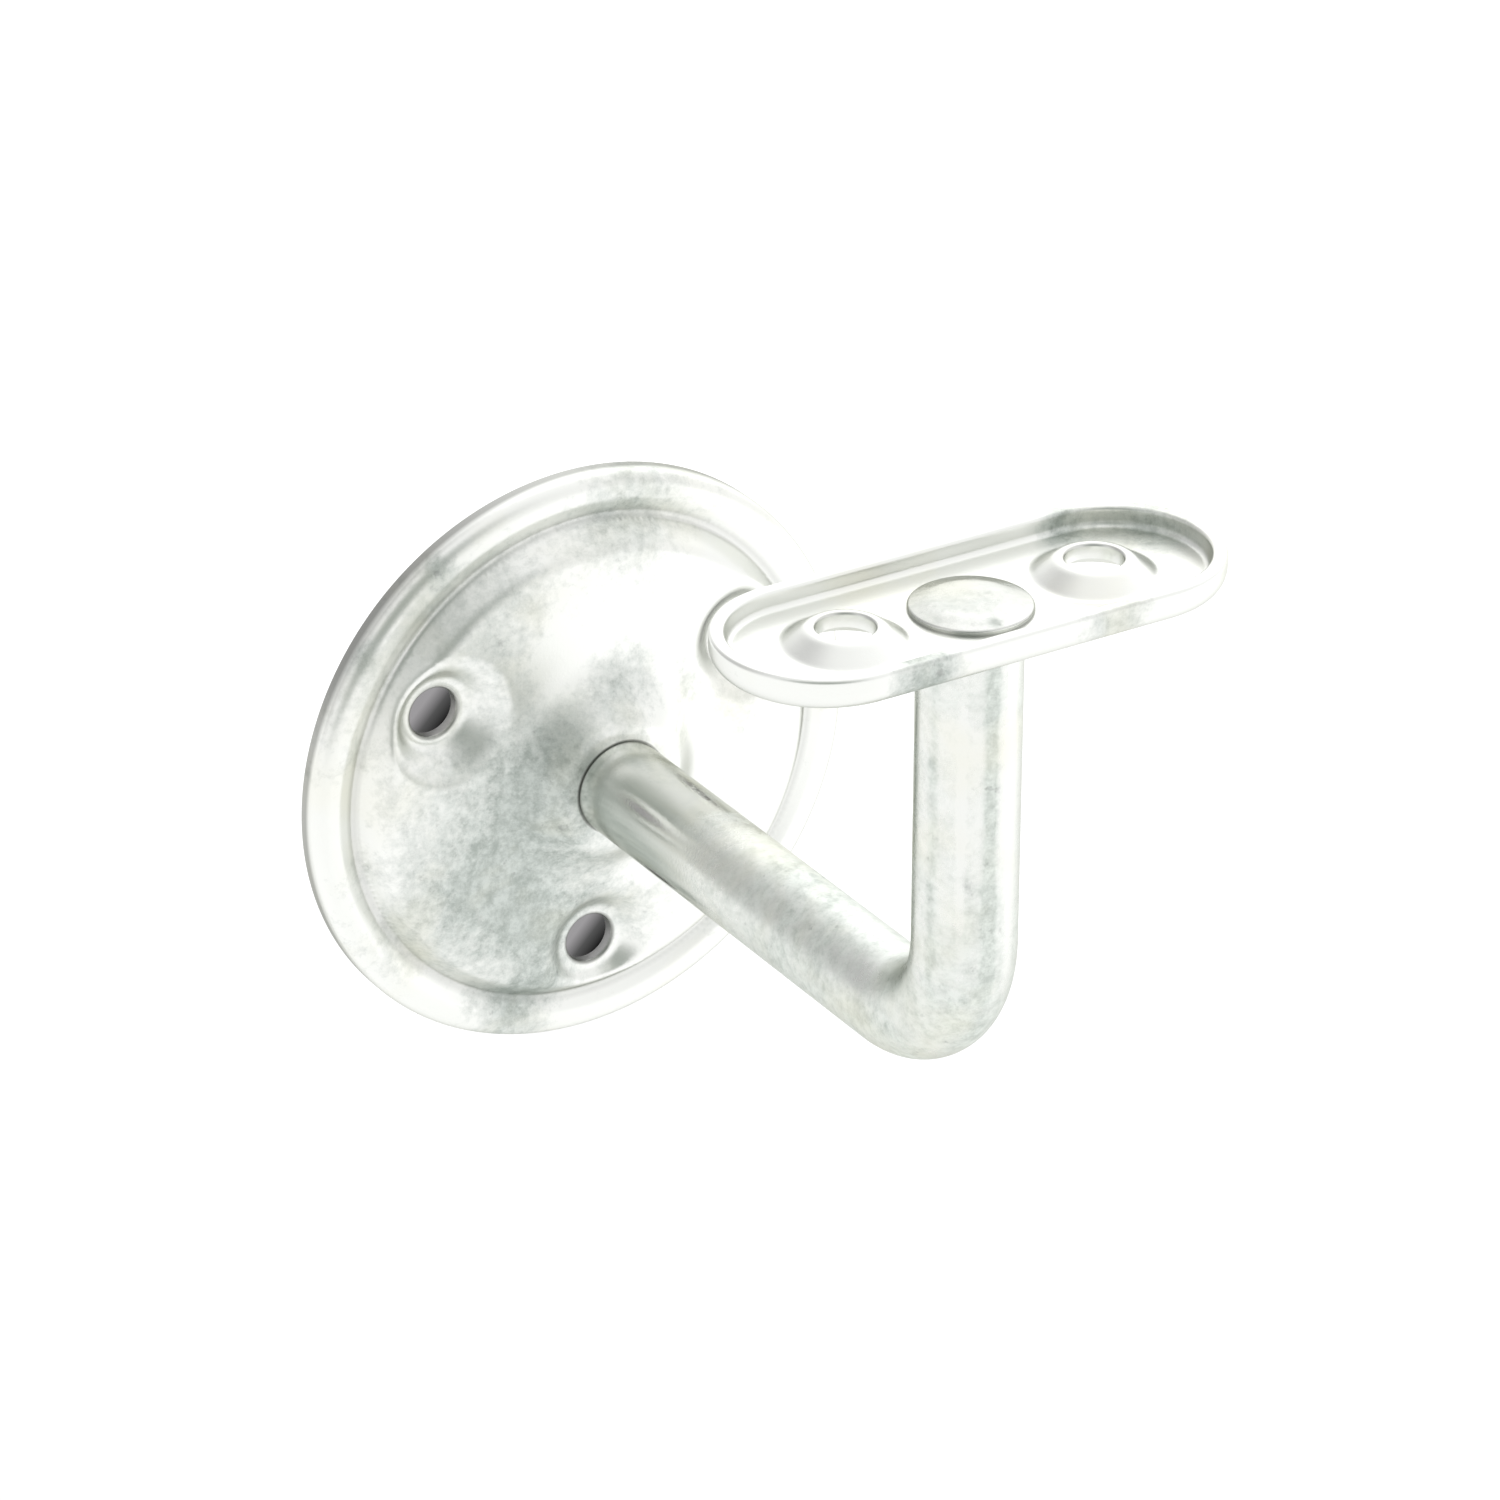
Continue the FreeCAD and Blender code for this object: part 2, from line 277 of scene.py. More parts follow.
def boundary_loops(tris):
    """The open edges of a triangle set, as closed chains of vertices."""
    edges = set()
    for a, b, c in tris:
        for e in ((a, b), (b, c), (c, a)):
            if (e[1], e[0]) in edges:
                edges.remove((e[1], e[0]))
            else:
                edges.add(e)
    follow = dict(edges)
    loops = []
    while follow:
        start, here = follow.popitem()
        loop = [start]
        while here != start:
            loop.append(here)
            here = follow.pop(here)
        loops.append(loop)
    return loops


def rim_and_holes(tris):
    """The outer boundary of a triangle set, which is its longest loop, and the other loops."""
    loops = sorted(boundary_loops(tris), key=len)
    return loops[-1], loops[:-1]


def face_normals(verts, tris):
    """Normals of the triangles, as long as twice their areas."""
    a, b, c = (verts[tris[:, i]] for i in range(3))
    return np.cross(b - a, c - a)


def vertex_normals(verts, tris):
    """Unit normals of the vertices, weighted by the areas of their triangles."""
    face = face_normals(verts, tris)
    normals = np.zeros_like(verts)
    for i in range(3):
        np.add.at(normals, tris[:, i], face)
    return normals / np.linalg.norm(normals, axis=1, keepdims=True)


# ---- meshes ----

def add_mesh(name, verts_mm, faces, material):
    """A smooth-shaded object from vertices in millimetres, with its sharp edges marked."""
    mesh = bpy.data.meshes.new(name)
    mesh.from_pydata((np.asarray(verts_mm) * MM).tolist(), [], [list(map(int, f)) for f in faces])
    mesh.validate()
    mesh.update()
    for polygon in mesh.polygons:
        polygon.use_smooth = True
    mesh.set_sharp_from_angle(angle=SHARP_ANGLE)
    mesh.materials.append(material)
    obj = bpy.data.objects.new(name, mesh)
    bpy.context.scene.collection.objects.link(obj)
    return obj


def outward_normals(obj):
    """Turn all faces of a closed mesh outwards."""
    work = bmesh.new()
    work.from_mesh(obj.data)
    bmesh.ops.recalc_face_normals(work, faces=work.faces)
    work.to_mesh(obj.data)
    work.free()


def merge_close(obj):
    """Join the vertices that coincide, and set the normals and sharp edges anew."""
    work = bmesh.new()
    work.from_mesh(obj.data)
    bmesh.ops.remove_doubles(work, verts=work.verts, dist=MERGE_DISTANCE)
    work.to_mesh(obj.data)
    work.free()
    outward_normals(obj)
    obj.data.set_sharp_from_angle(angle=SHARP_ANGLE)


def strip(loop, other):
    """Quads between two loops of equal length."""
    count = len(loop)
    return [[loop[i], loop[(i + 1) % count], other[(i + 1) % count], other[i]] for i in range(count)]


def skin(rows):
    """Quads between each loop of vertices and the next."""
    return [face for row, next_row in zip(rows, rows[1:]) for face in strip(row, next_row)]


def two_skins(tris, edges, total):
    """Faces of a sheet: front, back, whose vertices come total later, and walls along the edges."""
    faces = [list(t) for t in tris] + [list(t[::-1] + total) for t in tris]
    for edge in edges:
        faces += [face[::-1] for face in strip(edge, [v + total for v in edge])]
    return faces


def turned_mesh(path, count):
    """Vertices (x, y, height) and faces of the path (r, h) turned round the height axis."""
    verts, rows = [], []
    for r, h in path:
        if r < TINY:
            rows.append([len(verts)] * count)
            verts.append((0.0, 0.0, h))
            continue
        rows.append(list(range(len(verts), len(verts) + count)))
        verts.extend((x, y, h) for x, y in ring(r, count))
    return np.array(verts), [list(dict.fromkeys(face)) for face in skin(rows)]


def joined(pieces):
    """One vertex array and face list from several."""
    verts, faces, offset = [], [], 0
    for piece_verts, piece_faces in pieces:
        verts.append(piece_verts)
        faces.extend([[v + offset for v in face] for face in piece_faces])
        offset += len(piece_verts)
    return np.concatenate(verts), faces


# ---- wall rose ----

ROSE_PATH = arc_path([
    (SPIGOT_R, SEAT_RISE, 0),
    (SEAT_R, SEAT_RISE, SEAT_BEND),
    (NECK_FOOT_R, CROWN_RISE, NECK_FOOT_BEND),
    (ROSE_R - CROWN_INSET, CROWN_RISE, CROWN_BEND),
    (ROSE_R - SHOULDER_INSET, SHOULDER_RISE, SHOULDER_BEND),
    (ROSE_R - VALLEY_INSET, VALLEY_RISE, VALLEY_BEND),
    (ROSE_R - BEAD_CREST, BEAD_RISE, BEAD_INNER_BEND),
    (ROSE_R, BEAD_RISE, BEAD_OUTER_BEND),
    (ROSE_R, 0.0, 0),
])
ROSE_TOP = ROSE_PATH[ROSE_PATH[:, 1] > RIM_SIDE_RISE - TINY]      # without the rim's upright side


def rose_height(plan, lipped):
    """Height of the rose's front over plan points (x, z), with or without rounded hole lips."""
    height = np.interp(np.linalg.norm(plan, axis=1), ROSE_TOP[:, 0], ROSE_TOP[:, 1])
    for place in SCREW_PLACES:
        away = np.linalg.norm(plan - place, axis=1)
        climb = np.maximum(away - LAND_R, 0)
        eased = np.where(climb < LAND_BEND, climb ** 2 / (2 * LAND_BEND), climb - LAND_BEND / 2)
        dimple = LAND_RISE + eased * DIMPLE_SLOPE
        height = smooth_min(height, dimple, BRIM_EASE)
        if lipped:
            height = height - lip_drop(away, SCREW_R)
    return height


def rose_front(plan, lipped):
    """The rose's front in space over plan points (x, z)."""
    return np.stack([plan[:, 0], -rose_height(plan, lipped), plan[:, 1]], 1)


def sheet_normals(plan, lipped):
    """Outward normals of the rose's front over plan points, from the height field's own slope."""
    inward = plan * np.minimum(1, (ROSE_R - SLOPE_INSET) / np.linalg.norm(plan, axis=1))[:, None]

    def slope(axis):
        shift = np.eye(2)[axis] * SLOPE_STEP
        rise = rose_height(inward + shift, lipped) - rose_height(inward - shift, lipped)
        return rise / (2 * SLOPE_STEP)
    normals = np.stack([-slope(0), -np.ones(len(plan)), -slope(1)], 1)
    on_side = np.linalg.norm(plan, axis=1) > ROSE_R - SIDE_INSET
    normals[on_side] = np.stack([plan[on_side, 0], np.zeros(on_side.sum()), plan[on_side, 1]], 1)
    return normals / np.linalg.norm(normals, axis=1, keepdims=True)


def rose_plan(radii):
    """Plan points of the seat, neck and dome: rings of the given radii, and finer ones at each dimple."""
    dome = np.concatenate([ring(r, max(ROUND_COUNT, int(2 * math.pi * r / DOME_POINT_GAP)),
                                phase=RING_TWIST * i) for i, r in enumerate(radii)])
    dimple_radii = np.concatenate([[SCREW_R + step for step in LIP_STEPS],
                                   np.arange(LAND_R, DIMPLE_REACH, DIMPLE_RING_GAP)])
    dimples = []
    for place in SCREW_PLACES:
        dimples += [ring(r, ROUND_COUNT, place) for r in dimple_radii]
        away = np.linalg.norm(dome - place, axis=1)
        nearest = np.min(np.abs(away[:, None] - dimple_radii[None, :]), axis=1)
        dome = dome[(away > LAND_R + LAND_MARGIN) & ((away > DIMPLE_REACH) | (nearest > RING_MARGIN))]
    return np.concatenate(dimples + [dome])


def with_rings(plan, tris, radii):
    """The plan and its triangles with plain rings added outside the ring that the plan ends with."""
    here = np.arange(RIM_COUNT)
    for r in radii:
        inside, outside = len(plan) - RIM_COUNT + here, len(plan) + here
        after_in, after_out = np.roll(inside, -1), np.roll(outside, -1)
        tris = np.concatenate([tris, np.stack([inside, outside, after_out], 1),
                               np.stack([inside, after_out, after_in], 1)])
        plan = np.concatenate([plan, ring(r, RIM_COUNT)])
    return plan, tris


def unfolded(front, back, tris, fixed):
    """The sheet's back with its folds at sharp ridges smoothed out, and which points were moved."""
    links = np.concatenate([tris[:, [0, 1]], tris[:, [1, 2]], tris[:, [2, 0]]])
    relaxed = np.zeros(len(back), bool)
    back = back.copy()
    for _ in range(UNFOLD_ROUNDS):
        front_face, back_face = face_normals(front, tris), face_normals(back, tris)
        agree = (front_face * back_face).sum(1)
        size = np.linalg.norm(front_face, axis=1) * np.linalg.norm(back_face, axis=1)
        moving = np.zeros(len(back), bool)
        moving[tris[agree < FOLD_LIMIT * size]] = True
        for _ in range(UNFOLD_SPREAD):
            moving[links[moving[links[:, 0]]][:, 1]] = True
        moving[fixed] = False
        relaxed |= moving
        for _ in range(UNFOLD_SMOOTHINGS):
            total, count = np.zeros_like(back), np.zeros(len(back))
            np.add.at(total, links[:, 0], back[links[:, 1]])
            np.add.at(count, links[:, 0], 1)
            back[moving] = total[moving] / count[moving][:, None]
    return back, relaxed


def shade_by(mesh, vertex_shading, sheet_faces):
    """Shade the first faces, the sheet's front and back, by given normals, and keep the others."""
    corner_normals = [tuple(c.vector) for c in mesh.corner_normals]
    for polygon in mesh.polygons[:sheet_faces]:
        for loop in polygon.loop_indices:
            corner_normals[loop] = tuple(vertex_shading[mesh.loops[loop].vertex_index])
    mesh.normals_split_custom_set(corner_normals)


def make_rose(material):
    """The rose: a front from its height field, a back one sheet behind it, and walls at the edges."""
    outer = ROSE_TOP[:, 0] >= REGULAR_FROM_R
    inner_radii, outer_radii = ROSE_TOP[~outer, 0], ROSE_TOP[outer, 0]
    plan = np.concatenate([rose_plan(inner_radii), ring(outer_radii[0], RIM_COUNT)])
    tris = triangulate(plan, [((0, 0), SPIGOT_R), *((place, SCREW_R) for place in SCREW_PLACES)])
    plan, tris = with_rings(plan, tris, outer_radii[1:])
    rim, holes = rim_and_holes(tris)

    # the rim's upright side, from the last ring down to its foot on the wall
    around = np.concatenate([plan, plan[rim]])
    foot = np.stack([plan[rim][:, 0], np.zeros(len(rim)), plan[rim][:, 1]], 1)
    foot_index = list(range(len(plan), len(around)))
    side = [t for q in strip(rim, foot_index) for t in ((q[0], q[2], q[1]), (q[0], q[3], q[2]))]
    tris = np.concatenate([tris, np.array(side)])

    # the back is offset from the front without its lips, which only the front has
    unlipped = np.concatenate([rose_front(plan, False), foot])
    normals = sheet_normals(around, False)
    back, relaxed = unfolded(unlipped, unlipped - normals * SHEET, tris, foot_index)
    front = np.concatenate([rose_front(plan, True), foot])

    faces = two_skins(tris, [*holes, foot_index], len(front))
    rose = add_mesh("rose_pressing", np.concatenate([front, back]), faces, material)
    outward_normals(rose)
    back_normals = np.where(relaxed[:, None], -vertex_normals(back, tris), -normals)
    shade_by(rose.data, np.concatenate([sheet_normals(around, True), back_normals]), 2 * len(tris))
    return rose


# ---- arm ----

def swept_bar():
    """The bent bar as rings along its centre line, with its two end edges rounded."""
    x_axis, y_axis, z_axis = np.eye(3)
    start_y = -SEAT_RISE
    bend_y = -(LEG_OUT - BEND_R)
    end_turns = np.linspace(0, math.pi / 2, END_STEPS)
    stations = []                              # centre, the ring's axis besides X, radius
    for a in end_turns:                        # the edge at the rose
        stations.append((np.array([0, start_y - END_EDGE * (1 - math.cos(a)), 0]),
                         z_axis, BAR_R - END_EDGE * (1 - math.sin(a))))
    for y in np.linspace(start_y - END_EDGE, bend_y, ARM_STEPS)[1:]:
        stations.append((np.array([0, y, 0]), z_axis, BAR_R))
    for a in np.linspace(0, math.pi / 2, BEND_STEPS)[1:]:
        centre = np.array([0, bend_y - BEND_R * math.sin(a), BEND_R * (1 - math.cos(a))])
        stations.append((centre, np.array([0, math.sin(a), math.cos(a)]), BAR_R))
    for z in np.linspace(BEND_R, UNDERSIDE_Z - END_EDGE, LEG_STEPS)[1:]:
        stations.append((np.array([0, -LEG_OUT, z]), y_axis, BAR_R))
    for a in end_turns[1:]:                    # the edge at the saddle
        stations.append((np.array([0, -LEG_OUT, UNDERSIDE_Z - END_EDGE * (1 - math.sin(a))]),
                         y_axis, BAR_R - END_EDGE * (1 - math.cos(a))))
    angles = np.arange(ROUND_COUNT) * (2 * math.pi / ROUND_COUNT)
    verts = np.array([centre + radius * (math.cos(angle) * x_axis + math.sin(angle) * up)
                      for centre, up, radius in stations for angle in angles])
    rows = np.arange(len(verts)).reshape(len(stations), ROUND_COUNT).tolist()
    return verts, skin(rows) + [rows[0][::-1], rows[-1]]


def head_path(radius, flat, crown_bend, top, seat, spigot_end):
    """Outline (r, h) of a peened head and its spigot, from the middle of its top to the axis."""
    upwards = math.copysign(1, top - seat)
    return arc_path([(0.0, top, 0), (radius * flat, top, crown_bend),
                     (radius, seat + upwards * HEAD_EDGE, HEAD_EDGE_BEND), (radius, seat, 0),
                     (SPIGOT_R, seat, 0), (SPIGOT_R, spigot_end, 0), (0.0, spigot_end, 0)],
                    step_angle=12, step_length=0.5)


def make_arm(material):
    """The arm: the bent bar, its head in the saddle and its head inside the rose."""
    rail_path = head_path(RAIL_HEAD_R, RAIL_HEAD_FLAT, RAIL_HEAD_BEND, arm_high[2], FLOOR_Z,
                          UNDERSIDE_Z - SPIGOT_INTO_BAR)
    rail_verts, rail_faces = turned_mesh(rail_path, HEAD_COUNT)
    rail_verts = rail_verts + np.array([0, -LEG_OUT, 0])
    wall_path = head_path(WALL_HEAD_R, WALL_HEAD_FLAT, WALL_HEAD_BEND, -arm_high[1], SEAT_RISE - SHEET,
                          SEAT_RISE + SPIGOT_INTO_BAR)
    wall_verts, wall_faces = turned_mesh(wall_path, HEAD_COUNT)
    wall_verts = np.stack([wall_verts[:, 0], -wall_verts[:, 2], wall_verts[:, 1]], 1)
    verts, faces = joined([swept_bar(), (rail_verts, rail_faces), (wall_verts, wall_faces)])
    arm = add_mesh("bent_bar", verts, faces, material)
    outward_normals(arm)
    return arm


# ---- saddle ----

def obround_ring(inset):
    """Plan points of an obround inset from the saddle's outline, the same number at any inset."""
    radius = SADDLE_HALF_W - inset
    points = []
    for side in (1, -1):
        for a in np.linspace(-math.pi / 2, math.pi / 2, SADDLE_END_COUNT + 1)[:-1]:
            points.append((side * (SADDLE_HALF_RUN + radius * math.cos(a)), side * radius * math.sin(a)))
        for t in np.linspace(1, -1, SADDLE_RUN_COUNT + 1)[:-1]:
            points.append((side * SADDLE_HALF_RUN * t, side * radius))
    return np.array(points)


def raised_height(plan, foot_r, top_r, ease):
    """Height of the two raised screw dimples over plan points (x, y)."""
    height = np.zeros(len(plan))
    for place in RAIL_SCREW_PLACES:
        away = np.linalg.norm(plan - place, axis=1)
        cone = (foot_r - away) * RAISED_RISE / (foot_r - top_r)
        bump = smooth_min(cone, RAISED_RISE, ease)
        bump = -smooth_min(-bump, 0, ease * RAISED_FOOT_SHARE)
        height = np.maximum(height, bump)
    return height


def saddle_walls():
    """Vertices and faces of the saddle's upturned wall, and the plan ring where its floor starts."""
    outer_wall = arc_path([(0.0, SEAT_Z - WALL_START, 0), (0.0, UNDERSIDE_Z, SADDLE_BEND),
                           (FLOOR_INSET, UNDERSIDE_Z, 0)], step_angle=10, step_length=0.8)
    inner_wall = arc_path([(SADDLE_SHEET, SEAT_Z - WALL_START, 0), (SADDLE_SHEET, FLOOR_Z, SADDLE_INNER_BEND),
                           (FLOOR_INSET, FLOOR_Z, 0)], step_angle=12, step_length=0.5)
    rim = arc_path([(0.0, SEAT_Z - RIM_START, 0), (0.0, SEAT_Z, RIM_BEND), (SADDLE_SHEET, SEAT_Z, RIM_BEND),
                    (SADDLE_SHEET, SEAT_Z - RIM_START, 0)], step_angle=15, step_length=0.4)
    # up the outside, over the rim and down the inside; the points where they start are left out
    section = np.concatenate([outer_wall[:0:-1], rim[1:-1], inner_wall[1:]])
    loops = []
    for inset, z in section:
        plan = obround_ring(inset)
        loops.append(np.column_stack([plan, np.full(len(plan), z)]))
    verts = np.concatenate(loops)
    rows = np.arange(len(verts)).reshape(len(loops), -1).tolist()
    return verts, skin(rows), loops[-1][:, :2]


def saddle_floor(edge):
    """Both faces of the floor inside the edge: rings round the dimples and a plain grid between them."""
    radii = np.concatenate([[RAIL_SCREW_R + step for step in RAIL_LIP_STEPS],
                            np.arange(RAIL_SCREW_R + RAISED_RING_START, RAISED_FOOT_R + RAISED_RING_REACH,
                                      RAISED_RING_GAP)])
    rings = [ring(r, ROUND_COUNT, place) for place in RAIL_SCREW_PLACES for r in radii]
    grid_x, grid_y = np.meshgrid(np.arange(-GRID_HALF_L, GRID_HALF_L, GRID_STEP),
                                 np.arange(-GRID_HALF_W, GRID_HALF_W, GRID_STEP))
    grid = np.stack([grid_x.ravel(), grid_y.ravel()], 1)
    off_spine = np.hypot(np.maximum(np.abs(grid[:, 0]) - SADDLE_HALF_RUN, 0), grid[:, 1])
    grid = grid[off_spine < SADDLE_HALF_W - FLOOR_INSET - GRID_EDGE_MARGIN]
    grid = grid[clear_of(grid, [((0, 0), SPIGOT_R + GRID_SPIGOT_MARGIN),
                                *((place, radii[-1] + GRID_DIMPLE_MARGIN) for place in RAIL_SCREW_PLACES)])]
    plan = np.concatenate([edge, *rings, ring(SPIGOT_R, SPIGOT_COUNT), grid])
    tris = triangulate(plan, [((0, 0), SPIGOT_R), *((place, RAIL_SCREW_R) for place in RAIL_SCREW_PLACES)])
    _, holes = rim_and_holes(tris)

    top = FLOOR_Z + raised_height(plan, RAISED_FOOT_R, RAISED_TOP_R, RAISED_TOP_EASE)
    for place in RAIL_SCREW_PLACES:
        top = top - lip_drop(np.linalg.norm(plan - place, axis=1), RAIL_SCREW_R)
    # below, the cone is smaller by what keeps the sheet even along its slope
    slope = math.atan2(RAISED_RISE, RAISED_FOOT_R - RAISED_TOP_R)
    shift = SADDLE_SHEET * math.tan(slope / 2)
    bottom = UNDERSIDE_Z + raised_height(plan, RAISED_FOOT_R - shift, RAISED_TOP_R - shift, RAISED_UNDER_EASE)
    verts = np.concatenate([np.column_stack([plan, top]), np.column_stack([plan, bottom])])
    return verts, two_skins(tris, holes, len(plan))


def make_saddle(material):
    """The saddle: its upturned wall and its floor, joined where they meet."""
    wall_verts, wall_faces, floor_edge = saddle_walls()
    verts, faces = joined([(wall_verts, wall_faces), saddle_floor(floor_edge)])
    saddle = add_mesh("saddle_pressing", verts + np.array([0, -LEG_OUT, 0]), faces, material)
    merge_close(saddle)
    return saddle


# ---- materials ----

PIT_COLOUR = (0.30, 0.31, 0.30)
# colour of the painted shade in the groove and round the holes, and of grime with painted shade in the joints
GRIME_AND_SHADE_COLOUR = (0.10, 0.10, 0.09)
GLANCING_TINT = (0.60, 0.61, 0.58, 1)      # the plating is darker at a glancing angle
CLOUD_WEIGHT = 1.7                         # how far large and small patches shift the dull areas' edges
GRAIN_WEIGHT = 1.1
DULL_FROM = 1.4                            # cover and patches together from which it darkens: dull plating, and painted shade where the areas stand for it
MOTTLE_LIFT = 0.22
YELLOW_SHARE = 0.3
PIT_SHARE = 0.5
BUMP_STRENGTH = 0.25
BUMP_HEIGHT = 0.00005                      # metres
GRAIN_BUMP_SHARE = 0.5
STREAK_SQUEEZE = 0.03                      # the streaks run along the leg: its heights count this much


class Nodes:
    """Small helper that adds and links shader nodes."""

    def __init__(self, tree):
        self.tree = tree

    def add(self, kind, **settings):
        node = self.tree.nodes.new(kind)
        for name, value in settings.items():
            setattr(node, name, value)
        return node

    def link(self, source, target):
        self.tree.links.new(source, target)

    def noise(self, vector, scale, detail, roughness, distortion=0.0):
        """Noise whose scale is in waves a metre."""
        node = self.add("ShaderNodeTexNoise")
        for name, value in (("Scale", scale), ("Detail", detail), ("Roughness", roughness),
                            ("Distortion", distortion)):
            node.inputs[name].default_value = value
        self.link(vector, node.inputs["Vector"])
        return node.outputs["Fac"]

    def ramp(self, value, *stops):
        """Colour ramp through stops (place, grey level or colour)."""
        node = self.add("ShaderNodeValToRGB")
        elements = node.color_ramp.elements
        while len(elements) < len(stops):
            elements.new(0.5)
        for element, (place, colour) in zip(elements, stops):
            element.position = place
            element.color = (*colour, 1) if isinstance(colour, tuple) else (colour, colour, colour, 1)
        self.link(value, node.inputs["Fac"])
        return node.outputs["Color"]

    def fade(self, value, start, end, first, last):
        """A soft step from first, where the value is start, to last, where it is end."""
        node = self.add("ShaderNodeMapRange", interpolation_type="SMOOTHSTEP")
        for name, limit in (("From Min", start), ("From Max", end), ("To Min", first), ("To Max", last)):
            node.inputs[name].default_value = limit
        self.link(value, node.inputs["Value"])
        return node.outputs["Result"]

    def math(self, operation, a, b=0.0, c=1.0):
        node = self.add("ShaderNodeMath", operation=operation)
        for socket, value in zip(node.inputs, (a, b, c)):
            if isinstance(value, (int, float)):
                socket.default_value = value
            else:
                self.link(value, socket)
        return node.outputs["Value"]

    def vector(self, operation, a, fixed):
        """Vector maths between a linked vector and a fixed one."""
        node = self.add("ShaderNodeVectorMath", operation=operation)
        self.link(a, node.inputs[0])
        node.inputs[1].default_value = fixed
        return node.outputs["Value" if operation in ("DISTANCE", "DOT_PRODUCT") else "Vector"]

    def mix(self, factor, a, b):
        """Mix of two colours; 0, 6 and 7 are the mix node's factor and colour inputs, 2 its colour output."""
        node = self.add("ShaderNodeMix", data_type="RGBA")
        for socket, value in ((node.inputs[0], factor), (node.inputs[6], a), (node.inputs[7], b)):
            if isinstance(value, (int, float)):
                socket.default_value = value
            elif isinstance(value, tuple):
                socket.default_value = (*value, 1)
            else:
                self.link(value, socket)
        return node.outputs[2]

    def product(self, a, b):
        """Product of two colours."""
        colour = self.mix(1.0, a, b)
        colour.node.blend_type = "MULTIPLY"
        return colour


def new_material(name):
    """An empty node material, its Nodes helper and the surface socket of its output."""
    material = bpy.data.materials.new(name)
    material.use_nodes = True
    material.node_tree.nodes.clear()
    n = Nodes(material.node_tree)
    return material, n, n.add("ShaderNodeOutputMaterial").inputs["Surface"]


def dull_and_painted_shade_cover(n, where, areas):
    """How dull the plating is at a point, with painted shade and light where the areas stand for them: the
    sum of soft round areas (centre, radius, amount).
    """
    total = None
    for centre, radius, amount in areas:
        away = n.vector("DISTANCE", where, [c * MM for c in centre])
        here = n.fade(away, 0.0, radius * MM, amount, 0.0)
        total = here if total is None else n.math("ADD", total, here)
    return total


def seam_shade(n, where, axis, centre, radius, reach, amount):
    """Painted shade, with grime in the joints: amount on a circle round an axis (0, 1 or 2), fading to 0 at
    reach from it.
    """
    parts = n.add("ShaderNodeSeparateXYZ")
    n.link(n.vector("SUBTRACT", where, [c * MM for c in centre]), parts.inputs[0])
    along = parts.outputs[axis]
    across = [parts.outputs[i] for i in range(3) if i != axis]
    out_from_axis = n.math("SQRT", n.math("ADD", n.math("POWER", across[0], 2.0),
                                          n.math("POWER", across[1], 2.0)))
    off_circle = n.math("SUBTRACT", out_from_axis, radius * MM)
    away = n.math("SQRT", n.math("ADD", n.math("POWER", off_circle, 2.0), n.math("POWER", along, 2.0)))
    return n.ramp(n.math("DIVIDE", away, reach * MM), (0.35, amount), (1.0, 0.0))


def zinc(name, bright, dull, tint, gloss, rough, base_cover, areas, seams, streaks=()):
    """Zinc-plated steel: bright plating with dull, speckled areas and a faint yellow tint, some areas
    standing for painted shade and light, and rings of painted shade, with grime in the joints.
    """
    material, n, surface = new_material(name)
    bsdf = n.add("ShaderNodeBsdfPrincipled")
    n.link(bsdf.outputs["BSDF"], surface)
    where = n.add("ShaderNodeTexCoord").outputs["Object"]

    cloud = n.noise(where, scale=75, detail=5, roughness=0.6, distortion=0.5)
    grain = n.noise(where, scale=900, detail=4, roughness=0.72)
    fine = n.noise(where, scale=2600, detail=2, roughness=0.6)
    tinted = n.noise(where, scale=80, detail=3, roughness=0.5, distortion=0.3)
    yellow = n.ramp(tinted, (0.5, 0.0), (0.7, 1.0))

    level = n.math("ADD", dull_and_painted_shade_cover(n, where, areas), base_cover)
    level = n.math("MULTIPLY_ADD", cloud, CLOUD_WEIGHT, level)
    level = n.math("MULTIPLY_ADD", grain, GRAIN_WEIGHT, level)
    if streaks:
        squeezed = n.vector("MULTIPLY", where, (1, 1, STREAK_SQUEEZE))
        level = n.math("ADD", level, dull_and_painted_shade_cover(n, squeezed, streaks))
    # dull plating, and painted shade where the areas stand for it: darker and rougher
    matte_and_painted_shade = n.ramp(n.math("SUBTRACT", level, DULL_FROM), (0.05, 0.0), (0.85, 1.0))
    mottle = n.ramp(n.noise(where, scale=620, detail=5, roughness=0.75), (0.36, 0.0), (0.62, 1.0))
    pits = n.ramp(n.noise(where, scale=420, detail=3, roughness=0.6), (0.66, 0.0), (0.72, 1.0))
    colour = n.mix(matte_and_painted_shade, bright, n.mix(mottle, dull, tuple(c + MOTTLE_LIFT for c in dull)))
    colour = n.mix(n.math("MULTIPLY", yellow, YELLOW_SHARE), colour, tint)
    colour = n.mix(n.math("MULTIPLY", n.math("MULTIPLY", pits, matte_and_painted_shade), PIT_SHARE), colour, PIT_COLOUR)
    # darker rings: painted shade, with grime in the joints
    for seam in seams:
        colour = n.mix(seam_shade(n, where, *seam), colour, GRIME_AND_SHADE_COLOUR)
    n.link(colour, bsdf.inputs["Base Color"])
    n.link(n.math("ADD", gloss, n.math("MULTIPLY", matte_and_painted_shade, rough - gloss)), bsdf.inputs["Roughness"])
    bsdf.inputs["Metallic"].default_value = 1.0
    bsdf.inputs["Specular Tint"].default_value = GLANCING_TINT

    bump = n.add("ShaderNodeBump")
    bump.inputs["Strength"].default_value = BUMP_STRENGTH
    bump.inputs["Distance"].default_value = BUMP_HEIGHT
    n.link(n.math("ADD", fine, n.math("MULTIPLY", grain, GRAIN_BUMP_SHARE)), bump.inputs["Height"])
    n.link(bump.outputs["Normal"], bsdf.inputs["Normal"])
    return material


